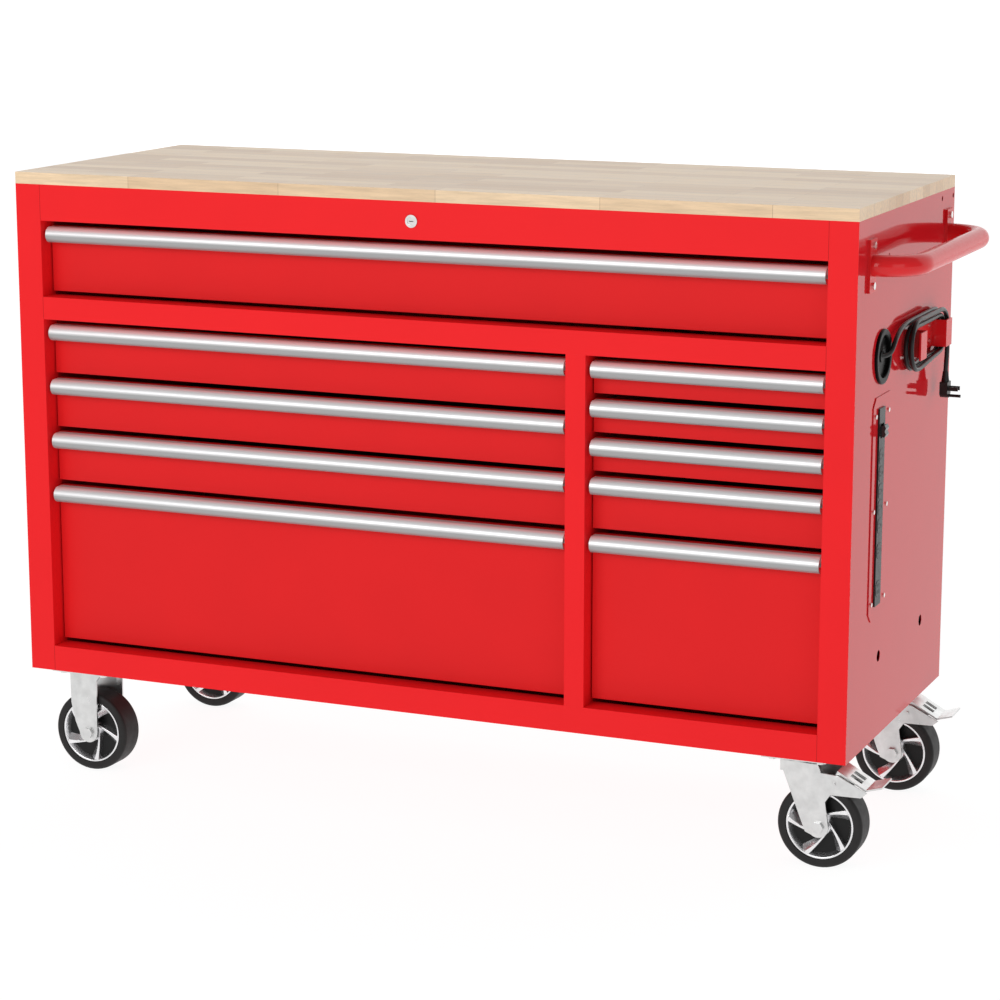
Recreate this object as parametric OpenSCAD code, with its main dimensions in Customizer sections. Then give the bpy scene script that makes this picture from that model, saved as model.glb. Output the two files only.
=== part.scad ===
// Rolling tool chest: steel cabinet with two banks of drawers, wood worktop and four casters.
// Modules draw in cabinet coordinates: x from the left side, y back from the front face, z up from
// the cabinet's underside. in_row_frame() moves them to the floor, under the middle of the chest.

/* [Cabinet] */
// Width of the steel cabinet
cabinet_w = 1422; // [1150:1:1720]
// Depth of the steel cabinet
cabinet_d = 550; // [520:1:700]
// Height of the steel cabinet
cabinet_h = 817; // [760:1:990]
// Thickness of the casing sheets
casing_t = 1.2; // [0.8:0.1:2]
// Thickness of the worktop
worktop_t = 19; // [15:1:40]

/* [Front frame] */
// Depth of the front frame behind its face
frame_depth = 40; // [36:1:55]
// Width of each outer post
post_w = 45; // [42:0.5:60]
// Width of the post between the banks
centre_post_w = 32.5; // [28:0.5:45]
// Height of the header above the top drawer
header_h = 59; // [50:0.5:75]
// Height of the rail under the top drawer
mid_rail_h = 37; // [25:0.5:50]
// Height of the rail under the banks
bottom_rail_h = 42.5; // [30:0.5:60]

/* [Drawers] */
// Height of the opening for the top drawer
top_opening_h = 125; // [105:0.5:160]
// Width of the opening for the right bank
right_bank_w = 377.5; // [300:0.5:500]
// Pitch of the shallow drawers in the left bank
row_pitch = 90.5; // [87:0.5:100]
// Depth of each drawer tray, front to back
tray_d = 462; // [458:1:466]
// Thickness of the tray sheets
tray_t = 1; // [0.8:0.1:1.6]
// Thickness of a drawer's front pan
pan_t = 13; // [10:0.5:15]
// Distance of the drawer fronts behind the frame's face
front_setback = 30; // [28:0.5:32]
// Gap above the first pull in an opening
top_gap = 11; // [8:0.5:14]
// Gap between a drawer front and the pull below it
row_gap = 9.4; // [6:0.1:12]
// Gap between a drawer front and the side of its opening
side_gap = 2.5; // [1.5:0.1:4]

/* [Slides] */
// Length of every slide member
slide_len = 457; // [440:1:457]
// Height of the cabinet member
slide_h = 36; // [34:0.5:38]
// Thickness of a whole slide
slide_t = 12.7; // [12:0.1:14]
// Running gap between slide members
slide_gap = 0.4; // [0.3:0.05:0.6]

/* [Pulls] */
// Height of a pull
pull_h = 25; // [22:0.5:27]
// Reach of a pull in front of its drawer
pull_reach = 25.5; // [23:0.5:27]
// Wall of a pull
pull_t = 2; // [1.5:0.1:2.5]
// Gap between a pull's end and the side of its opening
pull_end_gap = 5.5; // [4:0.5:8]

/* [Handle] */
// Diameter of the handle tube
handle_d = 32; // [28:1:34]
// Wall of the handle tube
handle_wall = 2; // [1.5:0.1:3]
// Distance from the side to the middle of the handle tube
handle_reach = 64; // [60:1:90]
// Distance between the handle's two legs
handle_span = 444; // [380:1:460]
// Bend radius of the handle tube
handle_bend_r = 58; // [48:1:59]

/* [Casters] */
// Diameter of the wheels
wheel_d = 135; // [120:1:136]
// Width of the wheels
wheel_w = 48.6; // [40:0.2:52]
// Height from the floor to the cabinet
caster_h = 181; // [180:1:200]
// Diameter of the rims
rim_d = 108.5; // [95:0.5:112]
// Diameter of the wheel axles
axle_d = 12; // [10:0.5:14]
// Distance from a caster to the front or back of the cabinet
caster_inset = 65; // [60:1:80]
// Trail of the swivel casters
caster_trail = 33.5; // [28:0.5:40]

/* [Power] */
// Diameter of the power cord
cord_d = 7.5; // [7:0.5:9]
// Length of the power strip
strip_len = 306; // [280:1:306]
// Width of the power strip
strip_w = 31; // [28:1:36]
// Diameter of the grommet's flange
grommet_d = 84; // [78:1:96]

/* [Hidden] */
LEFT_ROWS = ["left_1", "left_2", "left_3", "left_4"];
RIGHT_ROWS = ["right_1", "right_2", "right_3", "right_4", "right_5"];
DRAWERS = concat(["top"], LEFT_ROWS, RIGHT_ROWS);
WHEELS = ["front_left", "rear_left", "front_right", "rear_right"];
$fn = 48;
eps = 0.01;
// Gap that keeps two pieces of one node apart
seam = 0.05;

// Openings of the front frame
right_post_x = cabinet_w - post_w;
right_bank_x = right_post_x - right_bank_w;
centre_post_x = right_bank_x - centre_post_w;
header_z = cabinet_h - header_h;
mid_rail_top_z = header_z - top_opening_h;
bank_top_z = mid_rail_top_z - mid_rail_h;
small_pitch = row_pitch * 2 / 3;
bottom_row_lift = 8.5;

// Tops of the drawers in each bank, from the top row down
bank_first_top = bank_top_z - top_gap;
left_tops = [for (i = [0:3]) bank_first_top - i * row_pitch];
right_tops = concat([for (i = [0:3]) bank_first_top - i * small_pitch], [left_tops[3]]);
lowest_z = bottom_rail_h + bottom_row_lift;

// Each drawer is [left edge of its opening, right edge, bottom of its front, top of its front]
function bank_drawer(x0, x1, tops, i) =
    [x0, x1, i + 1 < len(tops) ? tops[i + 1] + row_gap : lowest_z, tops[i]];
TOP_DRAWER = [post_w, right_post_x, mid_rail_top_z + 7, header_z - top_gap];
DRAWER_PLACES = concat(
    [TOP_DRAWER],
    [for (i = [0:3]) bank_drawer(post_w, centre_post_x, left_tops, i)],
    [for (i = [0:4]) bank_drawer(right_bank_x, right_post_x, right_tops, i)]
);

// Trays and slides
tray_y = front_setback + pan_t + seam;
tray_lift = 3;
tray_drop = 8;
slide_y = tray_y + 2;
slide_lift = 21;
member_t = 1.2;

// Casing
back_y = cabinet_d - casing_t;
top_rail_w = 30;
guide_t = 1.5;

// Lock
lock_x = cabinet_w / 2;
lock_z = cabinet_h - 30.5;
lock_proud = 2;
lock_bezel_d = 20;
lock_barrel_d = 17;
lock_plug_d = 12.5;
lock_barrel_len = 22;
cam_t = 2;
cam_reach = 8;
// Tail that balances the cam and its pin
cam_tail = 13.5;
cam_pin_d = 4;
lock_bar_t = 2;
lock_bar_y = back_y - 12;
lock_bar_w = 20;
lock_rod_z = lock_z + 10;

// Side with the handle
handle_z = cabinet_h - 71;
handle_front_y = 67;
flange_t = 4;
flange_w = 34;
flange_h = 79;
flange_bolt_pitch = 60;
bolt_head_h = 3;
pad_proud = 1.5;
pad_y = [99, 204];
pad_z = [195, 541];
pad_chamfer = 14;
strip_y = 123;
strip_z = 217;
strip_proud = 4.3;
strip_depth = 34;
strip_screw_y = [strip_y - 13, strip_y + strip_w + 26];
strip_screw_z = [6, 150, 296];
switch_z = strip_z + 271;
grommet_y = 142;
grommet_z = 600;
grommet_proud = 4.5;
grommet_floor = -3;
hanger_y = [297, 422];
hanger_z = 576;
hanger_h = 43;
hanger_t = 3;
hanger_depth = 27;
hanger_ear = 31;
hanger_screw_y = [18, 107];
hanger_screw_z = [11, 36];

// Holes of the handle side as [y, z, diameter]
side_holes = [
    [472, 805, 8], [541, 804, 8], [541, 768, 8], [167, 751, 5], [167.5, 129, 18], [413.5, 128, 18]
];

// Cord coil: a flat oval ring around the hanger
coil_y = 350;
coil_z = 598;
coil_outer = [214, 84];
coil_inner = [178, 50];
coil_x = [3, 24];

// Points of the cord's two free stretches: outwards from the side, y and z
LEAD = [[-3, 142, 600], [0, 147, 600], [3, 152, 600.5], [6, 158, 602], [8, 165, 605.5],
        [9, 172, 611.5], [9.5, 179, 618], [9.5, 188, 623.5], [9, 202, 629], [8.5, 219, 633],
        [8, 240, 635.5], [7.5, 262, 636.2], [7, 285, 636.2]];
TAIL = [[20, 453, 590], [20, 453.5, 576], [20, 453.5, 562], [19.5, 453, 547], [19, 453, 532]];
plug_z = 487;
plug_size = [13, 22, 28];

// Casters
floor_z = -caster_h;
wheel_z = floor_z + wheel_d / 2;
rigid_x = 86;
swivel_x = cabinet_w - 84;
front_wheel_y = caster_inset;
rear_wheel_y = cabinet_d - caster_inset;
plate_t = 4;
plate_w = 102;
plate_d = 114;
plate_bolt_x = 76;
plate_bolt_y = 84;
race_d = 66;
race_t = 8;
cup_z = -26;
fork_t = 3;
fork_gap = wheel_w + 9.4;
pedal_w = fork_gap - 4;
pedal_pin = [57, -42];
pedal_pin_d = 6;
run_gap = 0.05;

module in_row_frame() {
    reach = handle_reach + handle_d / 2;
    translate([-(cabinet_w + reach) / 2, -(cabinet_d - lock_proud) / 2, caster_h]) children();
}

// A block between two corners
module block(low, high) {
    translate(low) cube(high - low);
}

// A y-z outline carried along x
module along_x(x0, x1) {
    translate([x0, 0, 0]) rotate([90, 0, 90]) linear_extrude(x1 - x0) children();
}

// An x-z outline carried along y
module along_y(y0, y1) {
    translate([0, y1, 0]) rotate([90, 0, 0]) linear_extrude(y1 - y0) children();
}

// A round bar along x, its end on the y-z point
module round_x(x0, x1, d) {
    translate([x0, 0, 0]) rotate([0, 90, 0]) cylinder(d = d, h = x1 - x0);
}

// A round bar along y
module round_y(y0, y1, d) {
    translate([0, y1, 0]) rotate([90, 0, 0]) cylinder(d = d, h = y1 - y0);
}

module worktop() {
    color("burlywood") block([0, 0, cabinet_h], [cabinet_w, cabinet_d, cabinet_h + worktop_t]);
}

// Outline of the raised pad in y and z, with chamfered corners
module pad_outline() {
    c = pad_chamfer;
    polygon([
        [pad_y[0] + c, pad_z[0]], [pad_y[1] - c, pad_z[0]], [pad_y[1], pad_z[0] + c],
        [pad_y[1], pad_z[1] - c], [pad_y[1] - c, pad_z[1]], [pad_y[0] + c, pad_z[1]],
        [pad_y[0], pad_z[1] - c], [pad_y[0], pad_z[0] + c]
    ]);
}

module handle_side_panel() {
    translate([cabinet_w, 0, 0]) difference() {
        union() {
            block([-casing_t, casing_t, 0], [0, cabinet_d, cabinet_h]);
            along_x(-casing_t, pad_proud) pad_outline();
        }
        for (hole = side_holes) translate([0, hole[0], hole[1]]) round_x(-5, 5, hole[2]);
        translate([0, grommet_y, grommet_z]) round_x(-5, 5, grommet_d - 14);
        block([-5, strip_y + 3, strip_z + 8], [5, strip_y + strip_w - 3, strip_z + strip_len - 8]);
    }
}

// The guides that keep a lock bar's upright against the back
module lock_guide(x, z) {
    side = guide_t + 0.5;
    for (dx = [-lock_bar_w / 2 - side, lock_bar_w / 2 + 0.5])
        block([x + dx, lock_bar_y - 4, z], [x + dx + guide_t, back_y - seam, z + 20]);
}

module cabinet_shell() {
    wall = casing_t + seam;
    color("crimson") {
        block([0, casing_t, 0], [casing_t, cabinet_d, cabinet_h]);
        handle_side_panel();
        block([wall, back_y, 0], [cabinet_w - wall, cabinet_d, cabinet_h]);
        block([wall, casing_t, 0], [cabinet_w - wall, back_y - seam, casing_t]);
        for (x = [post_w - casing_t, right_post_x])
            block([x, frame_depth, wall], [x + casing_t, back_y - seam, header_z]);
        for (x = [wall, cabinet_w - wall - top_rail_w])
            block([x, frame_depth, cabinet_h - casing_t], [x + top_rail_w, back_y - seam, cabinet_h]);
        for (x = lock_bar_xs()) for (z = [120, 480]) lock_guide(x, z);
    }
}

// Section of a rail in y and z: a channel open to the back
module rail_section(z0, z1, top = true, bottom = true) {
    translate([0, z0]) square([casing_t, z1 - z0]);
    if (bottom) translate([0, z0]) square([frame_depth, casing_t]);
    if (top) translate([0, z1 - casing_t]) square([frame_depth, casing_t]);
}

// Left outer post: a face, and a return beside the openings that stops above the bottom sheet
module outer_post() {
    block([0, 0, 0], [post_w, casing_t, cabinet_h]);
    block([post_w - casing_t, 0, casing_t + seam], [post_w, frame_depth, cabinet_h]);
}

module front_frame() {
    rail_x0 = post_w + seam;
    rail_x1 = right_post_x - seam;
    color("red") {
        difference() {
            along_x(rail_x0, rail_x1) rail_section(header_z, cabinet_h);
            translate([lock_x, 0, lock_z]) round_y(-5, 5, lock_barrel_d + 0.4);
        }
        along_x(rail_x0, rail_x1) rail_section(bank_top_z, mid_rail_top_z);
        along_x(rail_x0, rail_x1) difference() {
            rail_section(0, bottom_rail_h, bottom = false);
            translate([casing_t, 0]) square([frame_depth, casing_t]);
        }
        for (side = [0, 1]) translate([side * cabinet_w, 0, 0]) mirror([side, 0, 0]) outer_post();
        translate([centre_post_x, 0, bottom_rail_h + seam])
            linear_extrude(bank_top_z - bottom_rail_h - 2 * seam) {
            square([centre_post_w, casing_t]);
            square([casing_t, frame_depth]);
            translate([centre_post_w - casing_t, 0]) square([casing_t, frame_depth]);
        }
    }
}

// The wall between the banks: a channel that stands behind the centre post
module centre_partition() {
    color("firebrick") translate([centre_post_x, frame_depth, casing_t])
        linear_extrude(bank_top_z - casing_t) difference() {
            square([centre_post_w, back_y - frame_depth]);
            translate([casing_t, -eps])
                square([centre_post_w - 2 * casing_t, back_y - frame_depth - casing_t]);
        }
}

// Middle height of a drawer's slides
function slide_z(place) = place[2] + slide_lift + tray_lift;

// Channel section of a slide member: s runs from the cabinet to the drawer, h is up
module member_section(s0, s1, h, web_at_drawer = false) {
    translate([web_at_drawer ? s1 - member_t : s0, -h / 2]) square([member_t, h]);
    for (z = [-h / 2, h / 2 - member_t]) translate([s0, z]) square([s1 - s0, member_t]);
}

// One member on both sides of a drawer
module slide_pair(place) {
    for (side = [0, 1]) translate([side == 0 ? place[0] : place[1], slide_y, slide_z(place)])
        mirror([side, 0, 0]) along_y(0, slide_len) children();
}

module slide_rails_fixed() {
    color("lightgray") for (place = DRAWER_PLACES)
        slide_pair(place) member_section(0, slide_t - member_t, slide_h);
}

module slide_middle(place) {
    h = slide_h - 2 * (member_t + slide_gap);
    color("silver") slide_pair(place) member_section(member_t + slide_gap, slide_t - member_t, h);
}

module tray(place) {
    x0 = place[0] + slide_t;
    x1 = place[1] - slide_t;
    z0 = place[2] + tray_lift;
    z1 = place[3] - tray_drop;
    difference() {
        block([x0, tray_y, z0], [x1, tray_y + tray_d, z1]);
        block([x0 + tray_t, tray_y + tray_t, z0 + tray_t],
              [x1 - tray_t, tray_y + tray_d - tray_t, z1 + 1]);
    }
}

// The drawer's front: a shallow pan that is open to the back
module front_pan(place) {
    x0 = place[0] + side_gap;
    x1 = place[1] - side_gap;
    difference() {
        block([x0, front_setback, place[2]], [x1, front_setback + pan_t, place[3]]);
        block([x0 + casing_t, front_setback + casing_t, place[2] + casing_t],
              [x1 - casing_t, tray_y + 1, place[3] - casing_t]);
    }
}

module drawer(place) {
    h = slide_h - 4 * (member_t + slide_gap);
    s0 = 2 * (member_t + slide_gap);
    color("firebrick") {
        tray(place);
        front_pan(place);
    }
    color("silver") slide_pair(place) member_section(s0, slide_t - seam, h, web_at_drawer = true);
}

// Section of a pull: x is its reach from the drawer front, y is up from its foot
module pull_section() {
    r = 13;
    cx = pull_reach - r;
    cy = -r;
    translate([0, -pull_t]) square([cx, pull_t]);
    translate([0, 6 - pull_h]) square([pull_t, pull_h - 6]);
    intersection() {
        translate([cx, cy]) difference() {
            circle(r = r);
            circle(r = r - pull_t);
        }
        polygon([[cx, 1], [cx + 2 * r, 1], [cx + 2 * r, -pull_h], [cx + 5, -pull_h], [cx, cy]]);
    }
}

module pull(place) {
    color("gainsboro") translate([place[0] + pull_end_gap, front_setback, place[3]])
        rotate([90, 0, 90]) linear_extrude(place[1] - place[0] - 2 * pull_end_gap)
            mirror([1, 0]) pull_section();
}

// Ring section of the handle tube
module tube_section() {
    difference() {
        circle(d = handle_d);
        circle(d = handle_d - 2 * handle_wall);
    }
}

// Half of the handle: a flange on the side, a short leg, the bend, and the grip to its middle
module handle_half() {
    bore = handle_d - 2 * handle_wall;
    difference() {
        block([0, -flange_w / 2, -flange_h / 2], [flange_t, flange_w / 2, flange_h / 2]);
        round_x(-1, flange_t + 1, bore);
        for (z = [-1, 1]) translate([0, 0, z * flange_bolt_pitch / 2]) round_x(-1, flange_t + 1, 6.6);
    }
    translate([flange_t, 0, 0]) rotate([0, 90, 0])
        linear_extrude(handle_reach - handle_bend_r - flange_t) tube_section();
    translate([handle_reach - handle_bend_r, handle_bend_r, 0]) rotate([0, 0, -90])
        rotate_extrude(angle = 90) translate([handle_bend_r, 0]) tube_section();
    translate([handle_reach, handle_span / 2, 0]) rotate([90, 0, 0])
        linear_extrude(handle_span / 2 - handle_bend_r) tube_section();
}

module push_handle() {
    color("red") translate([cabinet_w, handle_front_y, handle_z]) {
        handle_half();
        translate([0, handle_span, 0]) mirror([0, 1, 0]) handle_half();
    }
}

// Pan-head screw with its axis along x and its head outside
module side_screw(shank, d = 6, head_d = 11) {
    round_x(-shank, 0, d);
    round_x(0, bolt_head_h, head_d);
}

// Hex bolt with its head down
module plate_bolt(x, y) {
    translate([x, y, -plate_t - 5]) cylinder(d = 13, h = 5, $fn = 6);
    translate([x, y, -plate_t]) cylinder(d = 7.8, h = plate_t);
}

module cabinet_screws() {
    color("silver") {
        translate([cabinet_w, handle_front_y, handle_z])
            for (y = [0, handle_span]) for (z = [-1, 1])
                translate([flange_t, y, z * flange_bolt_pitch / 2]) side_screw(flange_t);
        for (y = strip_screw_y) for (z = strip_screw_z)
            translate([cabinet_w + pad_proud, y, strip_z + z]) round_x(0, 2, 7);
        for (y = hanger_screw_y) for (z = hanger_screw_z)
            translate([cabinet_w + hanger_t, hanger_y[0] + y, hanger_z + z]) round_x(0, 2, 8);
        for (caster = CASTER_CENTRES) for (dx = [-1, 1]) for (dy = [-1, 1])
            plate_bolt(caster[0] + dx * plate_bolt_x / 2, caster[1] + dy * plate_bolt_y / 2);
    }
}

module lock_housing() {
    color("silver") translate([lock_x, 0, lock_z]) difference() {
        union() {
            round_y(-lock_proud, 0, lock_bezel_d);
            round_y(-eps, lock_barrel_len, lock_barrel_d);
            round_y(casing_t, casing_t + 4, lock_barrel_d + 6);
        }
        round_y(-lock_proud - 1, lock_barrel_len + 1, lock_plug_d + 2 * run_gap);
    }
}

// The key cylinder with its cam, which stands 45 degrees below level when the lock is open
module lock_cylinder() {
    cam_y = lock_barrel_len + 0.4;
    color("gray") translate([lock_x, 0, lock_z]) {
        difference() {
            round_y(-lock_proud + 0.5, cam_y + eps, lock_plug_d);
            block([-3.6, -lock_proud, -0.7], [3.6, 14, 0.7]);
        }
        rotate([0, 45, 0]) {
            block([-cam_tail, cam_y, -5], [cam_reach + 4, cam_y + cam_t, 5]);
            translate([cam_reach, 0, 0]) round_y(cam_y + cam_t - eps, cam_y + cam_t + 4, cam_pin_d);
        }
    }
}

// Places of the lock bar's two uprights, behind the middle of each bank
function lock_bar_xs() = [lock_x + 8, (right_bank_x + right_post_x) / 2];

module lock_bar() {
    drive_y = lock_barrel_len + 0.4 + cam_t + 0.6;
    xs = lock_bar_xs();
    mid = cam_reach * 0.85;
    color("slategray") {
        translate([lock_x, 0, lock_z - cam_reach * sin(45)]) difference() {
            block([mid - 8, drive_y, -6], [mid + 8, drive_y + lock_bar_t, 22]);
            block([mid - 4.6, drive_y - 1, -2.6], [mid + 4.6, drive_y + lock_bar_t + 1, 2.6]);
        }
        block([xs[0] - 3, drive_y + lock_bar_t, lock_rod_z - 6], [xs[0] + 3, lock_bar_y, lock_rod_z]);
        block([xs[0] - lock_bar_w / 2, lock_bar_y, lock_rod_z - 20],
              [xs[1] + lock_bar_w / 2, lock_bar_y + lock_bar_t, lock_rod_z]);
        for (x = xs) block([x - lock_bar_w / 2, lock_bar_y, 60],
                           [x + lock_bar_w / 2, lock_bar_y + lock_bar_t, lock_rod_z - 20]);
    }
}

// Recessed strip, its face just proud of the pad, with the lead that rises inside to the grommet
module power_strip() {
    lead_r = 18;
    lead_end = grommet_floor - 3.5;
    color("dimgray") translate([cabinet_w, 0, 0]) {
        difference() {
            union() {
                block([pad_proud, strip_y, strip_z], [strip_proud, strip_y + strip_w, strip_z + strip_len]);
                block([-strip_depth, strip_y + 4, strip_z + 9],
                      [pad_proud + eps, strip_y + strip_w - 4, strip_z + strip_len - 9]);
            }
            switch_hole();
        }
        translate([lead_end - lead_r, grommet_y, strip_z + strip_len - 9])
            cylinder(d = cord_d, h = grommet_z - lead_r - strip_z - strip_len + 9);
        translate([lead_end, grommet_y, grommet_z - lead_r]) rotate([90, 0, 180])
            rotate_extrude(angle = 90) translate([lead_r, 0]) circle(d = cord_d);
    }
}

// Pocket for the rocker
module switch_hole() {
    block([-12, strip_y + 6.5, switch_z - 11], [10, strip_y + strip_w - 6.5, switch_z + 11]);
}

// Rocker whose body turns about a pin across the strip
module power_switch() {
    w = strip_w - 13 - 2 * 0.5;
    color("black") translate([cabinet_w - 2, strip_y + strip_w / 2, switch_z]) {
        rotate([90, 0, 0]) translate([0, 0, -w / 2]) cylinder(d = 12, h = w);
        along_y(-w / 2, w / 2)
            polygon([[0, -6], [0, 6], [12, 9.5], [14.5, 5], [12.5, 0], [14.5, -5], [12, -9.5]]);
    }
}

// Turned section: a rounded flange outside, a barrel through the side and a dish across it
module grommet_section() {
    r = grommet_d / 2;
    barrel_r = r - 7.3;
    inner_r = barrel_r - 3;
    lip = grommet_proud / 2;
    translate([inner_r, -10]) square([3, 10 + lip]);
    translate([inner_r, 0]) square([r - inner_r, lip]);
    translate([inner_r + lip, 0]) square([r - inner_r - 2 * lip, grommet_proud]);
    for (x = [inner_r + lip, r - lip]) translate([x, lip]) circle(r = lip);
    translate([0, grommet_floor]) square([inner_r + 1, 2]);
    translate([0, grommet_floor]) square([9, 3.5]);
}

module cord_grommet() {
    color("black") translate([cabinet_w, grommet_y, grommet_z]) rotate([0, 90, 0])
        rotate_extrude($fn = 96) grommet_section();
}

// Hat-shaped bracket: base on the side, two webs outward, two ears turned apart
module cord_hanger() {
    y0 = hanger_y[0];
    y1 = hanger_y[1];
    color("red") translate([cabinet_w, 0, hanger_z]) linear_extrude(hanger_h) {
        translate([0, y0]) square([hanger_t, y1 - y0]);
        for (y = [y0, y1 - hanger_t]) translate([0, y]) square([hanger_depth, hanger_t]);
        for (y = [y0 - hanger_ear, y1])
            translate([hanger_depth - hanger_t, y]) square([hanger_t, hanger_ear]);
        translate([hanger_depth - hanger_t, y0 - eps]) square([hanger_t, hanger_t]);
        translate([hanger_depth - hanger_t, y1 - hanger_t]) square([hanger_t, hanger_t + eps]);
    }
}

// A rectangle with half-round ends, centred
module stadium(size) {
    straight = size[0] - size[1];
    square([straight, size[1]], center = true);
    for (side = [-1, 1]) translate([side * straight / 2, 0]) circle(d = size[1], $fn = 64);
}

module cord_coil() {
    color("black") translate([cabinet_w, coil_y, coil_z]) along_x(coil_x[0], coil_x[1])
        difference() {
            stadium(coil_outer);
            stadium(coil_inner);
        }
}

// A point of a smooth curve through a list of points
function spline_point(p, i, t) =
    let (a = p[max(i - 1, 0)], b = p[i], c = p[i + 1], d = p[min(i + 2, len(p) - 1)])
    0.5 * (2 * b + (c - a) * t + (2 * a - 5 * b + 4 * c - d) * t * t + (3 * b - a - 3 * c + d) * t * t * t);
function smooth(p, steps) = concat(
    [for (i = [0:len(p) - 2]) for (k = [0:steps - 1]) spline_point(p, i, k / steps)],
    [p[len(p) - 1]]
);
function unit(v) = v / norm(v);
function ring(centre, along, across, r, sides) =
    let (u = unit(cross(along, across)), w = unit(cross(u, along)))
    [for (k = [0:sides - 1]) centre + r * (cos(360 * k / sides) * u + sin(360 * k / sides) * w)];

// A closed tube along a path; across is a direction that the path never follows
module swept_tube(path, d, across, sides = 8) {
    n = len(path);
    rings = [for (i = [0:n - 1])
        ring(path[i], path[min(i + 1, n - 1)] - path[max(i - 1, 0)], across, d / 2, sides)];
    points = [for (r = rings) each r];
    walls = [for (i = [0:n - 2]) for (k = [0:sides - 1])
        let (a = i * sides + k, b = i * sides + (k + 1) % sides) each [
            [a, b, b + sides],
            [a, b + sides, a + sides]
        ]];
    ends = [[for (k = [sides - 1:-1:0]) k], [for (k = [0:sides - 1]) (n - 1) * sides + k]];
    polyhedron(points, concat(walls, ends));
}

module power_cord() {
    color("black") translate([cabinet_w, 0, 0]) {
        swept_tube(smooth(LEAD, 2), cord_d, [0, -0.5, 0.87]);
        swept_tube(smooth(TAIL, 2), cord_d, [1, 0, 0.2]);
    }
}

// Flat right-angle plug with its strain relief above and its blades outward
module cord_plug() {
    end = TAIL[len(TAIL) - 1];
    color("black") translate([cabinet_w + end[0], end[1], 0]) {
        translate([0, 0, plug_z + plug_size[2]])
            cylinder(d1 = plug_size[0], d2 = cord_d + 1, h = end[2] - plug_z - plug_size[2]);
        block([-plug_size[0] / 2, -plug_size[1] / 2, plug_z + 8],
              [plug_size[0] / 2, plug_size[1] / 2, plug_z + plug_size[2]]);
        along_x(-plug_size[0] / 2, plug_size[0] / 2)
            translate([0, plug_z + 13]) circle(d = plug_size[1]);
    }
    color("silver") translate([cabinet_w + end[0] + plug_size[0] / 2, end[1], plug_z]) {
        for (y = [-7.1, 5.6]) block([0, y, 14], [16, y + 1.5, 20.5]);
        translate([0, 0, 5.5]) round_x(0, 19, 4.8);
    }
}

// Centres of the caster plates: left pair rigid, right pair swivelling
RIGID_CENTRES = [[rigid_x, front_wheel_y], [rigid_x, rear_wheel_y]];
SWIVEL_CENTRES = [[swivel_x, front_wheel_y], [swivel_x, rear_wheel_y]];
CASTER_CENTRES = concat(RIGID_CENTRES, SWIVEL_CENTRES);

module plate_holes() {
    for (dx = [-1, 1]) for (dy = [-1, 1])
        translate([dx * plate_bolt_x / 2, dy * plate_bolt_y / 2, -plate_t - 1])
            cylinder(d = 8, h = plate_t + 2);
}

module caster_plate() {
    difference() {
        block([-plate_w / 2, -plate_d / 2, -plate_t], [plate_w / 2, plate_d / 2, 0]);
        plate_holes();
    }
}

// Axle through both legs, with a hex head, a nut and a spacer beside the hub on each side
module axle() {
    out = fork_gap / 2 + fork_t;
    round_y(-out - 2, out + 2, axle_d);
    for (y = [-out - 5, out]) translate([0, y + 5, 0]) rotate([90, 0, 0]) cylinder(d = 19, h = 5, $fn = 6);
    for (side = [0, 1]) mirror([0, side, 0])
        round_y(wheel_w / 2 + 0.4, fork_gap / 2, axle_d + 6);
}

// Outline of a rigid fork's front leg, with the wheel's axle at the origin
module rigid_leg_outline() {
    top = -wheel_z - plate_t;
    difference() {
        union() {
            polygon([
                [-34, top], [26, top], [26, top - 8], [18, top - 18], [17, 0], [-17, 0], [-25, 18],
                [-33, top - 60]
            ]);
            circle(r = 17);
        }
        circle(d = axle_d);
    }
}

// The same leg from above: its outer part is folded towards the wheel
module rigid_leg_plan() {
    outer = -fork_gap / 2;
    fold = 3;
    polygon([
        [-40, outer + fold], [-21, outer], [40, outer],
        [40, outer - fork_t], [-21, outer - fork_t], [-40, outer + fold - fork_t]
    ]);
}

module rigid_leg() {
    intersection() {
        translate([0, 0, -wheel_d]) linear_extrude(2 * wheel_d) rigid_leg_plan();
        along_y(-fork_gap, 0) rigid_leg_outline();
    }
}

module rigid_caster(centre) {
    translate([centre[0], centre[1], 0]) {
        caster_plate();
        translate([0, 0, wheel_z]) {
            for (turn = [0, 180]) rotate([0, 0, turn]) rigid_leg();
            axle();
        }
        block([-26, -fork_gap / 2, -plate_t - fork_t], [26, fork_gap / 2, -plate_t]);
    }
}

module swivel_mount(centre) {
    translate([centre[0], centre[1], 0]) {
        caster_plate();
        translate([0, 0, -plate_t - race_t]) cylinder(d = race_d, h = race_t);
        translate([0, 0, cup_z - 6]) cylinder(d = 11, h = -cup_z - race_t - plate_t + 6 + eps);
        translate([0, 0, cup_z - 6]) cylinder(d = 18, h = 4, $fn = 6);
    }
}

module caster_mounts() {
    color("silver") {
        for (centre = RIGID_CENTRES) rigid_caster(centre);
        for (centre = SWIVEL_CENTRES) swivel_mount(centre);
    }
}

// Outline of a swivel fork's leg with its arm over the wheel; the swivel axis is x = 0
module swivel_leg_outline() {
    difference() {
        union() {
            polygon([
                [-30, -14], [30, -14], [36, -27], [64, -29], [109, -51], [100, -59], [52, -60],
                [44, -72], [50, wheel_z], [24, wheel_z - 13], [13, wheel_z - 9], [-25, -31], [-30, -31]
            ]);
            translate([caster_trail, wheel_z]) circle(r = 16.5);
        }
        translate([caster_trail, wheel_z]) circle(d = axle_d);
        translate(pedal_pin) circle(d = pedal_pin_d);
    }
}

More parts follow.
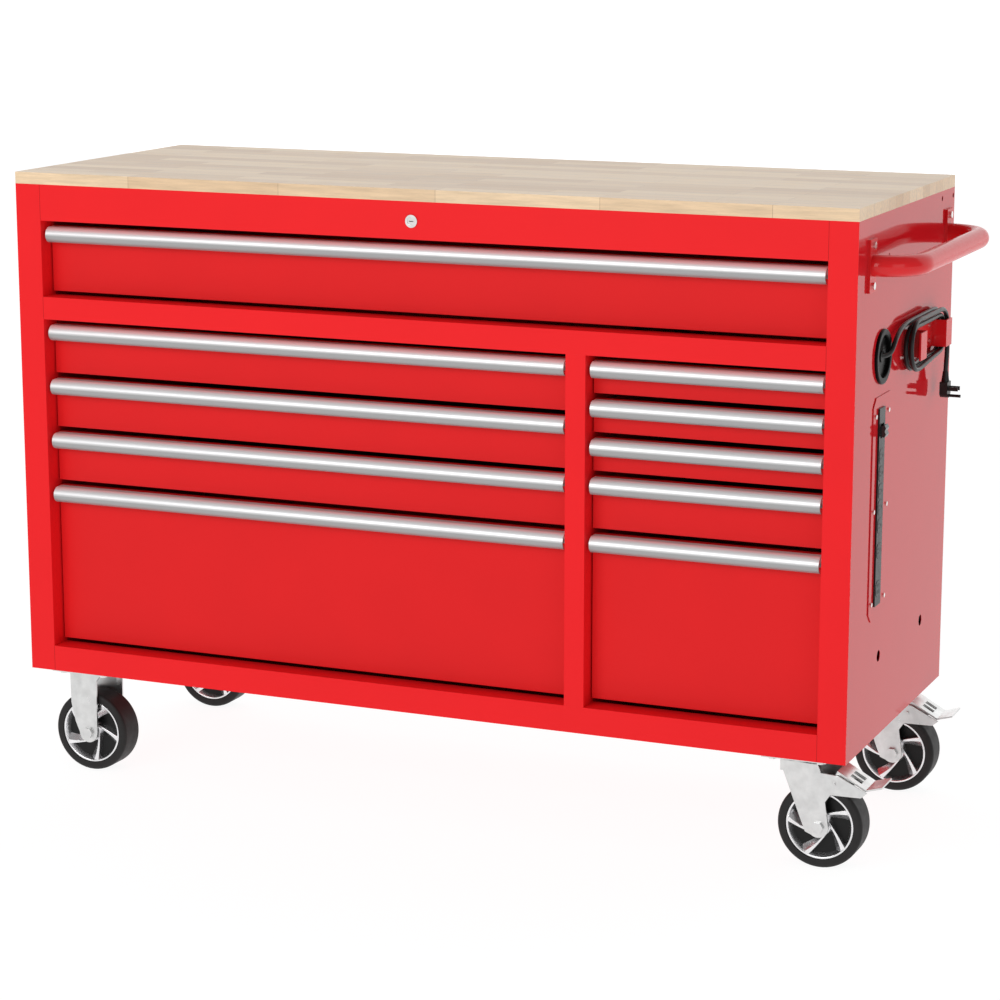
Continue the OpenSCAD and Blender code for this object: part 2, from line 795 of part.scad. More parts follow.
// The same leg from above: flat beside the wheel, its leading part folded towards the swivel axis
module swivel_leg_plan() {
    inner = fork_gap / 2;
    fold = 7;
    polygon([
        [-40, inner - fold], [19, inner], [120, inner],
        [120, inner + fork_t], [19, inner + fork_t], [-40, inner + fork_t - fold]
    ]);
}

module swivel_leg() {
    intersection() {
        translate([0, 0, floor_z]) linear_extrude(caster_h) swivel_leg_plan();
        along_y(0, fork_gap) swivel_leg_outline();
    }
}

module swivel_fork(centre) {
    half = fork_gap / 2;
    cup_top = -plate_t - race_t - 0.3;
    color("silver") translate([centre[0], centre[1], 0]) {
        for (side = [0, 1]) mirror([0, side, 0]) swivel_leg();
        difference() {
            translate([0, 0, cup_top - 4]) cylinder(d = fork_gap, h = 4);
            translate([0, 0, cup_top - 5]) cylinder(d = 11 + 2 * run_gap, h = 6);
        }
        translate([caster_trail, 0, wheel_z]) axle();
        translate([pedal_pin[0], 0, pedal_pin[1]])
            round_y(-half - fork_t - 2, half + fork_t + 2, pedal_pin_d);
    }
}

// Section of the pedal along the fork: sloping tread, then a lip that turns up
module pedal_section() {
    polygon([
        [61, -22], [106, -47], [131, -40], [131.6, -42.4], [105.6, -49.8], [60, -24.6]
    ]);
}

module brake_pedal(centre) {
    half = pedal_w / 2;
    color("silver") translate([centre[0], centre[1], 0]) {
        difference() {
            along_y(-half, half) pedal_section();
            for (y = [-15, 3]) block([78, y, -60], [96, y + 12, 0]);
        }
        for (side = [0, 1]) mirror([0, side, 0]) along_y(half - 2.5, half) difference() {
            union() {
                polygon([[61, -23.5], [84, -36.2], [74, -50], [66, -52], [52, -44], [52, -38]]);
                translate(pedal_pin) circle(r = 6.5);
            }
            translate(pedal_pin) circle(d = pedal_pin_d + 2 * run_gap);
        }
        block([67, -half + 1, -51], [70, half - 1, -28]);
    }
}

// Section of a tyre: rounded shoulders on a flat tread; x is the radius, y the width
module tyre_section() {
    r = wheel_d / 2;
    shoulder = 6;
    translate([rim_d / 2, -wheel_w / 2 + shoulder]) square([r - rim_d / 2, wheel_w - 2 * shoulder]);
    translate([rim_d / 2, -wheel_w / 2]) square([r - rim_d / 2 - shoulder, wheel_w]);
    for (side = [-1, 1]) translate([r - shoulder, side * (wheel_w / 2 - shoulder)]) circle(r = shoulder);
}

module wheel_place(i) {
    centre = CASTER_CENTRES[i];
    trail = i < 2 ? 0 : caster_trail;
    translate([centre[0] + trail, centre[1], wheel_z]) rotate([90, 0, 0]) children();
}

module tyre(i) {
    color([0.1, 0.1, 0.1]) wheel_place(i) rotate_extrude($fn = 96) tyre_section();
}

// Rim with a dished web, and the bearing sleeve in its hub
module rim(i) {
    hub_r = 15;
    sleeve_r = 10;
    color("darkgray") wheel_place(i) {
        rotate_extrude($fn = 96) {
            translate([sleeve_r, -wheel_w / 2]) square([hub_r - sleeve_r, wheel_w]);
            translate([hub_r - eps, -8]) square([rim_d / 2 - hub_r - 6, 16]);
            translate([rim_d / 2 - 7, -wheel_w / 2 + 1]) square([7, wheel_w - 2]);
        }
        rotate_extrude($fn = 96) translate([axle_d / 2 + run_gap, -wheel_w / 2])
            square([sleeve_r - axle_d / 2 - run_gap, wheel_w]);
    }
}

in_row_frame() worktop();
in_row_frame() cabinet_shell();
in_row_frame() front_frame();
in_row_frame() centre_partition();
in_row_frame() slide_rails_fixed();
in_row_frame() push_handle();
in_row_frame() cabinet_screws();
in_row_frame() lock_housing();
in_row_frame() lock_cylinder();
in_row_frame() lock_bar();
in_row_frame() power_strip();
in_row_frame() power_switch();
in_row_frame() cord_grommet();
in_row_frame() cord_hanger();
in_row_frame() power_cord();
in_row_frame() cord_coil();
in_row_frame() cord_plug();
in_row_frame() caster_mounts();
in_row_frame() swivel_fork(SWIVEL_CENTRES[0]);  // swivel_fork_front
in_row_frame() swivel_fork(SWIVEL_CENTRES[1]);  // swivel_fork_rear
in_row_frame() brake_pedal(SWIVEL_CENTRES[0]);  // brake_pedal_front
in_row_frame() brake_pedal(SWIVEL_CENTRES[1]);  // brake_pedal_rear
for (i = [0:3]) {
    in_row_frame() tyre(i);
    in_row_frame() rim(i);
}
for (i = [0:9]) {
    in_row_frame() drawer(DRAWER_PLACES[i]);
    in_row_frame() pull(DRAWER_PLACES[i]);
    in_row_frame() slide_middle(DRAWER_PLACES[i]);
}
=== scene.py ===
import math

import bmesh
import bpy
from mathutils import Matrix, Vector


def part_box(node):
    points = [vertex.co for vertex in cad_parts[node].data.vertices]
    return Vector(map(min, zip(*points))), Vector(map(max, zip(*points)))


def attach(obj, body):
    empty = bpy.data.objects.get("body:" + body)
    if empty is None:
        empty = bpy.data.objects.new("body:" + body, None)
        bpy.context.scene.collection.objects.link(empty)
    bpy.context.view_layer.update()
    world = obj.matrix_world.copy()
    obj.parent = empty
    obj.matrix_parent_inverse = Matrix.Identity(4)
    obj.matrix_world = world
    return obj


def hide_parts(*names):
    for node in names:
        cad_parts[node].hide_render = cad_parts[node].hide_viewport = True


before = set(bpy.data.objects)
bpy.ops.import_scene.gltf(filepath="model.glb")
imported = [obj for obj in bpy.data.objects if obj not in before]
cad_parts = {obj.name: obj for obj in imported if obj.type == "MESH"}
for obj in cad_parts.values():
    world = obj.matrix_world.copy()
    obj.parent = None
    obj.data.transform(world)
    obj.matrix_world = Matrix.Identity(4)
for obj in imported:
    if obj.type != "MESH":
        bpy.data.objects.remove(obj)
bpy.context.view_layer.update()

# Cabinet coordinates are in millimetres: x from the cabinet's left side, y back from its front face
# and z up from its underside. The right side is where the handle, strip and cord are.
shell_low, shell_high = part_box("front_frame")
SIDE_X = (shell_high[0] - shell_low[0]) * 1000
ORIGIN = Vector(shell_low)


def at(x, y, z):
    """A point in cabinet coordinates as a point of the row frame in metres."""
    return ORIGIN + Vector((x, y, z)) / 1000


def beside(x, y, z):
    """A point given outwards from the handle side."""
    return at(SIDE_X + x, y, z)


# ---------------------------------------------------------------- camera

CAMERA_PLACE = at(2570.1, -4009.1, 1285.7)
CAMERA_LOOK = Vector((-0.384, 0.8997, -0.2076))
CAMERA_LENS = 103.58


def add_camera():
    data = bpy.data.cameras.new("camera")
    data.sensor_width = 36
    data.lens = CAMERA_LENS
    data.clip_end = 60
    camera = bpy.data.objects.new("camera", data)
    camera.location = CAMERA_PLACE
    camera.rotation_euler = CAMERA_LOOK.to_track_quat("-Z", "Y").to_euler()
    bpy.context.collection.objects.link(camera)
    bpy.context.scene.camera = camera


add_camera()


# ---------------------------------------------------------------- materials

# The sockets that a colour Mix node uses, out of its many
MIX_A, MIX_B, MIX_RESULT = 6, 7, 2


class Shader:
    """A node material that is built around one Principled BSDF."""

    def __init__(self, name, color, rough, metallic=0.0, **sockets):
        self.material = bpy.data.materials.new(name)
        self.material.use_nodes = True
        self.tree = self.material.node_tree
        self.bsdf = self.tree.nodes["Principled BSDF"]
        self.color = color
        self.rough = rough
        self.bsdf.inputs["Base Color"].default_value = (*color, 1)
        self.bsdf.inputs["Roughness"].default_value = rough
        self.bsdf.inputs["Metallic"].default_value = metallic
        for socket, value in sockets.items():
            self.bsdf.inputs[socket.replace("_", " ")].default_value = value

    def node(self, kind, **values):
        made = self.tree.nodes.new("ShaderNode" + kind)
        for key, value in values.items():
            if key in made.inputs:
                made.inputs[key].default_value = value
            else:
                setattr(made, key, value)
        return made

    def link(self, source, target):
        self.tree.links.new(source, target)

    def place(self, scale=(1, 1, 1)):
        coords = self.node("TexCoord")
        mapping = self.node("Mapping", Scale=scale)
        self.link(coords.outputs["Object"], mapping.inputs["Vector"])
        return mapping.outputs["Vector"]

    def noise(self, size, scale=(1, 1, 1), detail=3.0):
        texture = self.node("TexNoise", Scale=size, Detail=detail)
        self.link(self.place(scale), texture.inputs["Vector"])
        return texture.outputs["Fac"]

    def spread(self, value, low, high, start=0.3, end=0.7):
        """The value stretched from start..end to low..high."""
        mapped = self.node("MapRange")
        ends = {"From Min": start, "From Max": end, "To Min": low, "To Max": high}
        for key, number in ends.items():
            mapped.inputs[key].default_value = number
        self.link(value, mapped.inputs["Value"])
        return mapped.outputs["Result"]

    def multiply(self, factor):
        """A Mix node that multiplies its first colour by a factor."""
        mix = self.node("Mix", data_type="RGBA", blend_type="MULTIPLY")
        mix.inputs["Factor"].default_value = 1
        self.link(factor, mix.inputs[MIX_B])
        return mix

    def vary_color(self, value, low, high, start=0.3, end=0.7):
        """Base colour times a number that the value moves between low and high."""
        mix = self.multiply(self.spread(value, low, high, start, end))
        mix.inputs[MIX_A].default_value = (*self.color, 1)
        self.link(mix.outputs[MIX_RESULT], self.bsdf.inputs["Base Color"])

    def vary_rough(self, value, amount):
        rough = self.spread(value, self.rough - amount, self.rough + amount)
        self.link(rough, self.bsdf.inputs["Roughness"])

    def bump(self, value, strength, distance):
        bump = self.node("Bump", Strength=strength, Distance=distance)
        self.link(value, bump.inputs["Height"])
        self.link(bump.outputs["Normal"], self.bsdf.inputs["Normal"])


def red_paint(name, color, coat, level):
    """Enamel with a faint orange peel."""
    paint = Shader(name, color, 0.42, Specular_IOR_Level=level, Coat_Weight=coat,
                   Coat_Roughness=0.05)
    paint.vary_color(paint.noise(9, detail=2), 0.985, 1.015)
    paint.vary_rough(paint.noise(160), 0.04)
    paint.bump(paint.noise(420, detail=1), 0.03, 0.0002)
    return paint.material


STAVES = {
    "Scale": 1, "Color1": (0.83, 0.62, 0.40, 1), "Color2": (0.60, 0.385, 0.215, 1),
    "Mortar": (0.42, 0.27, 0.16, 1), "Mortar Size": 0.0004, "Mortar Smooth": 0.4,
    "Bias": -0.25, "Brick Width": 0.27, "Row Height": 0.0392,
}


def butcher_block():
    """Glued staves that run along x, with grain and pores."""
    wood = Shader("butcher_block_wood", (0.72, 0.50, 0.30), 0.38, Specular_IOR_Level=0.45)
    staves = wood.node("TexBrick", offset=0.37, offset_frequency=2, squash=1.0, **STAVES)
    wood.link(wood.place(), staves.inputs["Vector"])
    grain = wood.noise(14, (1, 16, 16), 8)
    pores = wood.noise(120, (1, 22, 22), 4)
    shade = wood.multiply(wood.spread(grain, 0.86, 1.1))
    wood.link(staves.outputs["Color"], shade.inputs[MIX_A])
    fine = wood.multiply(wood.spread(pores, 0.93, 1.04))
    wood.link(shade.outputs[MIX_RESULT], fine.inputs[MIX_A])
    wood.link(fine.outputs[MIX_RESULT], wood.bsdf.inputs["Base Color"])
    wood.vary_rough(grain, 0.06)
    wood.bump(pores, 0.12, 0.0003)
    return wood.material


def brushed(name, color, rough, along):
    """Metal with fine lines that run along one axis."""
    metal = Shader(name, color, rough, 1.0)
    scale = tuple(2 if axis == along else 90 for axis in "xyz")
    lines = metal.noise(12, scale, 4)
    metal.vary_color(lines, 0.96, 1.03)
    metal.vary_rough(lines, 0.05)
    metal.bump(lines, 0.05, 0.0002)
    return metal.material


def pull_aluminium_with_painted_shade():
    """Satin extrusion with painted shade: the base colour darkens over the lower part, standing in
    for the darker reflection along its turned-under lower edge.
    """
    metal = Shader("pull_satin_aluminium_painted_shade", (0.86, 0.86, 0.865), 0.36, 0.35)
    coords = metal.node("TexCoord")
    axes = metal.node("SeparateXYZ")
    metal.link(coords.outputs["Generated"], axes.inputs["Vector"])
    # Painted shade: each pull is darkened to 0.42 of its base colour below 0.42 of its height,
    # rising to full colour at 0.6.
    metal.vary_color(axes.outputs["Z"], 0.42, 1.0, start=0.42, end=0.6)
    lines = metal.noise(12, (2, 90, 90), 4)
    metal.vary_rough(lines, 0.04)
    metal.bump(lines, 0.04, 0.0002)
    return metal.material


def plated(name, color, rough):
    """Plated steel with soft cloudy patches."""
    metal = Shader(name, color, rough, 1.0)
    metal.vary_color(metal.noise(60, detail=4), 0.88, 1.06)
    metal.vary_rough(metal.noise(35), 0.07)
    metal.bump(metal.noise(500, detail=2), 0.05, 0.0002)
    return metal.material


def moulded(name, color, rough, grain=700, strength=0.1, level=0.5):
    """Moulded plastic or rubber with a fine texture."""
    plastic = Shader(name, color, rough, Specular_IOR_Level=level)
    plastic.vary_color(plastic.noise(40, detail=3), 0.85, 1.15)
    plastic.vary_rough(plastic.noise(90), 0.05)
    plastic.bump(plastic.noise(grain, detail=2), strength, 0.0002)
    return plastic.material


FRONT_RED = red_paint("front_red_paint", (0.86, 0.013, 0.017), 0.0, 0.14)
DRAWER_RED = red_paint("drawer_red_paint", (0.75, 0.012, 0.014), 0.0, 0.14)
# Shell red is set darker than the front red: painted shade for the side panels, which face away
# from the key light.
SHELL_RED_PAINTED_SHADE = red_paint("shell_red_paint_with_painted_shade", (0.60, 0.012, 0.018), 0.78, 0.0)
HANDLE_RED = red_paint("handle_red_paint", (0.70, 0.012, 0.016), 0.55, 0.05)
SEAM_RED = red_paint("seam_red_paint", (0.50, 0.010, 0.012), 0.0, 0.1)
WOOD = butcher_block()
ALUMINIUM_PAINTED_SHADE = pull_aluminium_with_painted_shade()
SLIDE_STEEL = brushed("slide_zinc_steel", (0.62, 0.63, 0.65), 0.34, "y")
NICKEL = plated("nickel_screw_plate", (0.82, 0.81, 0.79), 0.18)
ZINC = plated("caster_zinc_plate", (0.70, 0.705, 0.70), 0.34)
STRIP_BLACK = moulded("strip_black_plastic", (0.012, 0.012, 0.012), 0.28, level=0.18)
SWITCH_BLACK = moulded("switch_black_plastic", (0.012, 0.012, 0.013), 0.2)
GROMMET_BLACK = moulded("grommet_black_plastic", (0.004, 0.004, 0.004), 0.3, level=0.08)
CORD_BLACK = moulded("cord_black_jacket", (0.008, 0.008, 0.008), 0.34, 900, 0.15, 0.35)
TYRE_BLACK = moulded("tyre_black_rubber", (0.013, 0.012, 0.012), 0.55, 500, 0.2, 0.3)
RIM_SILVER = plated("rim_polished_silver", (0.86, 0.86, 0.87), 0.24)
RIM_BLACK = moulded("rim_black_paint", (0.005, 0.005, 0.005), 0.4, level=0.25)
LINER_BLACK = moulded("drawer_liner_foam", (0.02, 0.02, 0.021), 0.8, 260, 0.4)
# Painted shade: near-black raised patches stand in for the shade inside the socket and port holes.
HOLE_PAINTED_SHADE = moulded("socket_hole_painted_shade", (0.004, 0.004, 0.004), 0.5)


# ---------------------------------------------------------------- mesh helpers

AXLE = Vector((0, 1, 0))
UP = Vector((0, 0, 1))


def add_mesh(name, parts, material, body, smooth):
    """One object from (vertices in metres, faces) parts, smooth below an angle in degrees."""
    mesh = bpy.data.meshes.new(name)
    points = []
    faces = []
    for part_points, part_faces in parts:
        start = len(points)
        points += [tuple(p) for p in part_points]
        faces += [[start + k for k in face] for face in part_faces]
    mesh.from_pydata(points, [], faces)
    shape = bmesh.new()
    shape.from_mesh(mesh)
    bmesh.ops.recalc_face_normals(shape, faces=shape.faces)
    shape.to_mesh(mesh)
    shape.free()
    mesh.shade_smooth()
    mesh.set_sharp_from_angle(angle=math.radians(smooth))
    mesh.materials.append(material)
    piece = bpy.data.objects.new(name, mesh)
    bpy.context.collection.objects.link(piece)
    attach(piece, body)
    return piece


def lathe(profile, centre, segments=64):
    """A closed ring: the profile's (radius, along) points turned about an axle through centre."""
    points = []
    for k in range(segments):
        angle = 2 * math.pi * k / segments
        out = UP * math.cos(angle) + AXLE.cross(UP) * math.sin(angle)
        points += [centre + out * (r / 1000) + AXLE * (a / 1000) for r, a in profile]
    count = len(profile)
    faces = []
    for k in range(segments):
        for j in range(count):
            near, far = k * count, (k + 1) % segments * count
            faces.append([near + j, near + (j + 1) % count, far + (j + 1) % count, far + j])
    return points, faces


def prism(outline, low, high):
    """An outline of points carried from an offset low to an offset high."""
    count = len(outline)
    points = [p + low for p in outline] + [p + high for p in outline]
    faces = [list(range(count)), list(range(2 * count - 1, count - 1, -1))]
    faces += [[k, (k + 1) % count, (k + 1) % count + count, k + count] for k in range(count)]
    return points, faces


def bevelled(piece, width, segments=2, angle=40):
    """Rounds a piece's sharp edges with a modifier."""
    bevel = piece.modifiers.new("rounded edges", "BEVEL")
    bevel.width = width
    bevel.segments = segments
    bevel.limit_method = "ANGLE"
    bevel.angle_limit = math.radians(angle)


# ---------------------------------------------------------------- cord

# The cord's diameter in millimetres
CORD_D = 7.5
# The two free stretches, outwards from the side, y and z; the coil is between them
LEAD = [(-3, 142, 600), (0, 147, 600), (3, 152, 600.5), (6, 158, 602), (8, 165, 605.5),
        (9, 172, 611.5), (9.5, 179, 618), (9.5, 188, 623.5), (9, 202, 629), (8.5, 219, 633),
        (8, 240, 635.5), (7.5, 262, 636.2)]
TAIL = [(20, 453, 590), (20, 453.5, 576), (20, 453.5, 562), (19.5, 453, 547), (19, 453, 532),
        (19, 453, 512)]
# The coil's middle, its straight runs, its outer radius and the depth of one layer, then how many
# turns it has and how many points each turn gets
COIL_Y = 350
COIL_Z = 598
COIL_STRAIGHT = 130
COIL_R = 38.25
LAYER = 9.5
TURNS = 3.38
STEPS = 24
# The shares of a turn at which the top run, the far end and the bottom run are done
TOP_END, FAR_END, BOTTOM_END = 0.26, 0.5, 0.76
# Turn count and which layer the cord lies in there: 0 is the outer one, 1 the inner one
COIL_LAYERS = [(0, 0), (0.74, 0), (0.98, 1), (2.5, 1), (2.72, 0), (4, 0)]
# Turn count and the cord's distance from the side there
COIL_X = [(0, 6.75), (1, 6.75), (1.5, 9), (1.72, 10.2), (1.85, 13.2), (1.93, 14.3), (2, 14.5),
          (2.5, 17), (3, 17), (3.38, 20), (4, 20)]


def between(table, value):
    """The number that a table of (value, number) pairs gives, straight from pair to pair."""
    for (v0, a), (v1, b) in zip(table, table[1:]):
        if value <= v1:
            return a + (b - a) * (value - v0) / (v1 - v0)
    return table[-1][1]


def coil_point(turn):
    """A point of the coil: along the top, down the far end, back along the bottom and up."""
    part = turn % 1
    radius = COIL_R - LAYER * between(COIL_LAYERS, turn)
    half = COIL_STRAIGHT / 2
    if part < TOP_END:
        y, z = -half + COIL_STRAIGHT * part / TOP_END, radius
    elif part < FAR_END:
        angle = math.pi * (part - TOP_END) / (FAR_END - TOP_END)
        y, z = half + radius * math.sin(angle), radius * math.cos(angle)
    elif part < BOTTOM_END:
        y, z = half - COIL_STRAIGHT * (part - FAR_END) / (BOTTOM_END - FAR_END), -radius
    else:
        angle = math.pi * (part - BOTTOM_END) / (1 - BOTTOM_END)
        y, z = -half - radius * math.sin(angle), -radius * math.cos(angle)
    return between(COIL_X, turn), COIL_Y + y, COIL_Z + z


def add_cord(name, points):
    curve = bpy.data.curves.new(name, "CURVE")
    curve.dimensions = "3D"
    curve.bevel_depth = CORD_D / 2000
    curve.bevel_resolution = 5
    curve.resolution_u = 6
    curve.use_fill_caps = True
    spline = curve.splines.new("BEZIER")
    spline.bezier_points.add(len(points) - 1)
    for knot, point in zip(spline.bezier_points, points):
        knot.co = beside(*point)
        knot.handle_left_type = knot.handle_right_type = "AUTO"
    curve.materials.append(CORD_BLACK)
    cord = bpy.data.objects.new(name, curve)
    bpy.context.collection.objects.link(cord)
    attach(cord, "cabinet")
    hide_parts("power_cord", "cord_coil")


coil_count = round(TURNS * STEPS)
coil_points = [coil_point(TURNS * k / coil_count) for k in range(coil_count + 1)]
add_cord("power_cord_jacket", LEAD + coil_points + TAIL)


# ---------------------------------------------------------------- wheels

# Radii, the wheel's width, and how far the rim's faces and pocket floors are from its middle
RIM_R = 54.25
RING_R = 45.5
WHEEL_W = 48.6
RIM_FACE = 22.6
RIM_BASE = 13
BLADES = 5
BLADE_STEPS = 10
BLADE_SWEEP = 68
BLADE_FOOT_R = 16.5
BLADE_TIP_R = 52
# Where the first blade of each wheel meets the ring, in degrees
BLADE_TURNS = {"front_left": -77, "rear_left": -50, "front_right": -37.6, "rear_right": -37.6}


def wheel_point(centre, x, z, y):
    return centre + Vector((x, y, z)) / 1000


def blade(centre, side, turn):
    """One spoke on one face of a wheel: a sharp edge, and behind it a slope into the pocket."""
    start = turn + math.radians(BLADE_SWEEP)
    foot = Vector((math.cos(start), math.sin(start))) * BLADE_FOOT_R
    tip = Vector((math.cos(turn), math.sin(turn))) * BLADE_TIP_R
    along = (tip - foot).normalized()
    across = Vector((along.y, -along.x))
    points, faces = [], []
    for k in range(BLADE_STEPS + 1):
        share = k / BLADE_STEPS
        edge = foot + (tip - foot) * share - across * 0.8 * math.sin(math.pi * share)
        flat = edge + across * (2.6 + 5 * share ** 2.5)
        low = edge + across * (7 + 12 * share ** 1.5)
        points += [wheel_point(centre, edge.x, edge.y, side * RIM_FACE),
                   wheel_point(centre, flat.x, flat.y, side * RIM_FACE),
                   wheel_point(centre, low.x, low.y, side * RIM_BASE),
                   wheel_point(centre, edge.x, edge.y, side * RIM_BASE)]
    for k in range(BLADE_STEPS):
        near, far = 4 * k, 4 * k + 4
        faces += [[near + j, near + (j + 1) % 4, far + (j + 1) % 4, far + j] for j in range(4)]
    last = 4 * BLADE_STEPS
    faces += [[0, 1, 2, 3], [last + 3, last + 2, last + 1, last]]
    return points, faces


def mirrored(half):
    """A profile and its mirror image, for a ring that is the same on both faces."""
    return [(r, -a) for r, a in half] + [(r, a) for r, a in half[::-1]]


def add_wheel_rim(place):
    low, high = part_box("tyre_" + place)
    centre = (Vector(low) + Vector(high)) / 2
    ring = mirrored([(RING_R, RIM_BASE), (50.6, RIM_FACE), (53.6, RIM_FACE),
                     (RIM_R - 0.2, RIM_FACE - 0.8)])
    hub = mirrored([(19.5, RIM_BASE), (BLADE_FOOT_R, RIM_FACE), (6.2, WHEEL_W / 2)])
    parts = [lathe(ring, centre, segments=96), lathe(hub, centre)]
    for side in (-1, 1):
        for k in range(BLADES):
            turn = math.radians(BLADE_TURNS[place] - 360 * k / BLADES)
            parts.append(blade(centre, side, turn))
    wheel = "wheel_" + place
    spokes = add_mesh(f"rim_spokes_{place}", parts, RIM_SILVER, wheel, 35)
    bevelled(spokes, 0.0005, 2, 50)
    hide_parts("rim_" + place)
    web = mirrored([(14, RIM_BASE + 0.5), (RING_R + 3, RIM_BASE + 0.5)])
    add_mesh(f"rim_web_{place}", [lathe(web, centre)], RIM_BLACK, wheel, 35)


for wheel_place in BLADE_TURNS:
    add_wheel_rim(wheel_place)


# ---------------------------------------------------------------- strip sockets

STRIP_FACE = 4.3
STRIP_MIDDLE = 138.5
# How far the insets and the dark openings stand out of the strip's face; the dark openings are
# painted shade for the holes
INSET, OPENING = 0.5, 0.62
OUTLETS = [449, 422, 395, 370, 341.5, 302.5]
# Each opening of an outlet: y and z from its middle, half width and half height
OUTLET_OPENINGS = [(-4.6, 3.2, 3.3, 1.0), (-4.6, -3.2, 3.8, 1.0), (5.4, 0, 2.4, 2.4)]
PORT_PANEL = 243
PORTS = [248, 238]


def slot_frame(y, z, half_y, half_z, depth):
    """A thin raised inset on the strip's face, with chamfered corners."""
    c = min(half_y, half_z) * 0.35
    corners = [(-half_y + c, -half_z), (half_y - c, -half_z),
               (half_y, -half_z + c), (half_y, half_z - c),
               (half_y - c, half_z), (-half_y + c, half_z),
               (-half_y, half_z - c), (-half_y, -half_z + c)]
    outline = [beside(STRIP_FACE, y + dy, z + dz) for dy, dz in corners]
    return prism(outline, Vector((-0.0003, 0, 0)), Vector((depth / 1000, 0, 0)))


def add_strip_details():
    faces, hole_shades = [], []
    for z in OUTLETS:
        faces.append(slot_frame(STRIP_MIDDLE, z, 11.5, 11.2, INSET))
        hole_shades += [slot_frame(STRIP_MIDDLE + dy, z + dz, half_y, half_z, OPENING)
                  for dy, dz, half_y, half_z in OUTLET_OPENINGS]
    faces.append(slot_frame(STRIP_MIDDLE, PORT_PANEL, 11.5, 12, INSET))
    for z in PORTS:
        hole_shades.append(slot_frame(STRIP_MIDDLE, z, 6.6, 2.6, OPENING))
    add_mesh("strip_socket_faces", faces, STRIP_BLACK, "cabinet", 30)
    add_mesh("strip_socket_slots", hole_shades, HOLE_PAINTED_SHADE, "cabinet", 30)


add_strip_details()


# ---------------------------------------------------------------- frame seams

POST_W = 45
# The lowest and highest point of the header, the mid rail and the bottom rail
RAILS = [(759, 816.5), (597, 632.5), (0.5, 42)]
SEAM_HALF = 0.45
SEAM_PROUD = 0.08
SEAM_DEEP = 0.5


def add_frame_seams():
    """The welded joints between the posts and the rails, as narrow dark lines."""
    parts = []
    for x in (POST_W, SIDE_X - POST_W):
        for z0, z1 in RAILS:
            corners = [at(x - SEAM_HALF, -SEAM_PROUD, z0), at(x + SEAM_HALF, -SEAM_PROUD, z0),
                       at(x + SEAM_HALF, -SEAM_PROUD, z1), at(x - SEAM_HALF, -SEAM_PROUD, z1)]
            parts.append(prism(corners, Vector(), Vector((0, SEAM_DEEP / 1000, 0))))
    add_mesh("frame_seams", parts, SEAM_RED, "cabinet", 20)


add_frame_seams()


# ---------------------------------------------------------------- drawer liners

DRAWERS = ["top"] + [f"left_{k}" for k in range(1, 5)] + [f"right_{k}" for k in range(1, 6)]
LINER_SIDE = 0.0172
LINER_FRONT = 0.019
LINER_BACK = 0.004
LINER_FLOOR = 0.0043
RIB_PITCH = 0.006
RIB_TOP = 0.0022
GROOVE_TOP = 0.0015


def add_liner(place):
    """A ribbed foam mat on a drawer's floor."""
    drawer = "drawer_" + place
    low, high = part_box(drawer)
    front_low, front_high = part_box("pull_" + place)
    x0, x1 = front_low[0] + LINER_SIDE, front_high[0] - LINER_SIDE
    y0, y1 = low[1] + LINER_FRONT, high[1] - LINER_BACK
    z = low[2] + LINER_FLOOR
    ribs = int((y1 - y0) / RIB_PITCH)
    section = [(y0, z)]
    for k in range(ribs):
        y = y0 + k * RIB_PITCH
        section += [(y + 0.0008, z + RIB_TOP), (y + 0.0038, z + RIB_TOP),
                    (y + 0.0045, z + GROOVE_TOP)]
    section.append((y0 + ribs * RIB_PITCH, z))
    mat = prism([Vector((x0, y, h)) for y, h in section], Vector(), Vector((x1 - x0, 0, 0)))
    add_mesh(f"liner_{place}", [mat], LINER_BLACK, drawer, 20)


for drawer in DRAWERS:
    add_liner(drawer)


# ---------------------------------------------------------------- finishes of the CAD nodes

FINISHES = {
    "worktop": WOOD, "cabinet_shell": SHELL_RED_PAINTED_SHADE, "front_frame": FRONT_RED,
    "centre_partition": DRAWER_RED, "slide_rails_fixed": SLIDE_STEEL,
    "push_handle": HANDLE_RED, "cabinet_screws": NICKEL,
    "lock_housing": NICKEL, "lock_cylinder": NICKEL, "lock_bar": SLIDE_STEEL,
    "power_strip": STRIP_BLACK, "power_switch": SWITCH_BLACK, "cord_grommet": GROMMET_BLACK,
    "cord_hanger": HANDLE_RED, "cord_plug": CORD_BLACK, "caster_mounts": ZINC,
}
PREFIXES = {
    "swivel_fork_": ZINC, "brake_pedal_": ZINC, "tyre_": TYRE_BLACK, "drawer_": DRAWER_RED,
    "pull_": ALUMINIUM_PAINTED_SHADE, "slide_middle_": SLIDE_STEEL, "rim_": RIM_SILVER,
    "power_cord": CORD_BLACK, "cord_coil": CORD_BLACK,
}


def finish_nodes():
    for name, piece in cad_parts.items():
        material = FINISHES.get(name)
        if material is None:
            material = next(finish for prefix, finish in PREFIXES.items()
                            if name.startswith(prefix))
        for place in piece.material_slots:
            place.material = material


finish_nodes()
bevelled(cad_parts["worktop"], 0.0015, 3)
for node in ("push_handle", "power_strip", "cord_hanger"):
    bevelled(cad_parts[node], 0.0006, 2)


# ---------------------------------------------------------------- stage

# The room in metres: its half width, its front edge, its back wall and the wall's height
ROOM_HALF = 30
ROOM_FRONT = -20
ROOM_BACK = 10
WALL_TOP = 17.5
WHITE = (1, 1, 1, 1)


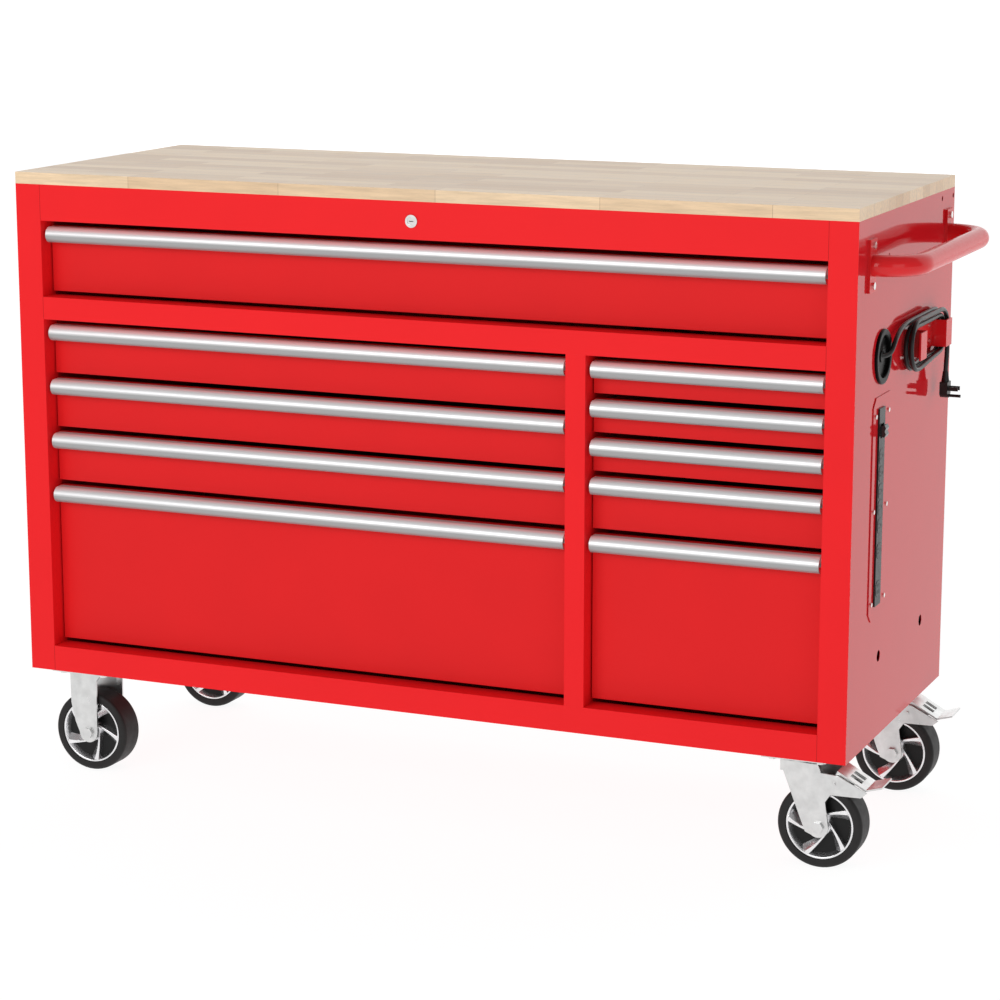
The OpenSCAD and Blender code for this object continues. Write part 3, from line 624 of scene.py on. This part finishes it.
def add_plane(name, corners, material):
    mesh = bpy.data.meshes.new(name)
    mesh.from_pydata(corners, [], [[0, 1, 2, 3]])
    mesh.materials.append(material)
    plane = bpy.data.objects.new(name, mesh)
    bpy.context.collection.objects.link(plane)


def add_area(name, place, target, size, power):
    data = bpy.data.lights.new(name, "AREA")
    data.shape = "RECTANGLE"
    data.size, data.size_y = size
    data.energy = power
    light = bpy.data.objects.new(name, data)
    light.location = place
    light.rotation_euler = (Vector(target) - Vector(place)).to_track_quat("-Z", "Y").to_euler()
    bpy.context.collection.objects.link(light)


def add_stage():
    floor = Shader("pale_floor", (0.16, 0.16, 0.16), 0.6, Specular_IOR_Level=0.0,
                   Emission_Color=WHITE, Emission_Strength=0.92)
    floor.vary_color(floor.noise(3), 0.98, 1.0)
    add_plane("floor", [(-ROOM_HALF, ROOM_FRONT, 0), (ROOM_HALF, ROOM_FRONT, 0),
                        (ROOM_HALF, ROOM_BACK, 0), (-ROOM_HALF, ROOM_BACK, 0)], floor.material)
    glow = bpy.data.materials.new("white_backdrop")
    glow.use_nodes = True
    tree = glow.node_tree
    tree.nodes.clear()
    emission = tree.nodes.new("ShaderNodeEmission")
    emission.inputs["Strength"].default_value = 1.3
    output = tree.nodes.new("ShaderNodeOutputMaterial")
    tree.links.new(emission.outputs["Emission"], output.inputs["Surface"])
    add_plane("backdrop", [(-ROOM_HALF, ROOM_BACK, 0), (ROOM_HALF, ROOM_BACK, 0),
                           (ROOM_HALF, ROOM_BACK, WALL_TOP),
                           (-ROOM_HALF, ROOM_BACK, WALL_TOP)], glow)
    world = bpy.data.worlds.new("studio")
    world.use_nodes = True
    background = world.node_tree.nodes["Background"]
    background.inputs["Color"].default_value = WHITE
    background.inputs["Strength"].default_value = 0.3
    bpy.context.scene.world = world
    add_area("key", (-1.2, -4.6, 2.4), (0, 0, 0.6), (3.6, 2.4), 95)
    add_area("fill", (3.6, -3.0, 1.6), (0.7, 0, 0.5), (2.0, 2.0), 14)


add_stage()
bpy.context.scene.view_settings.view_transform = "Standard"
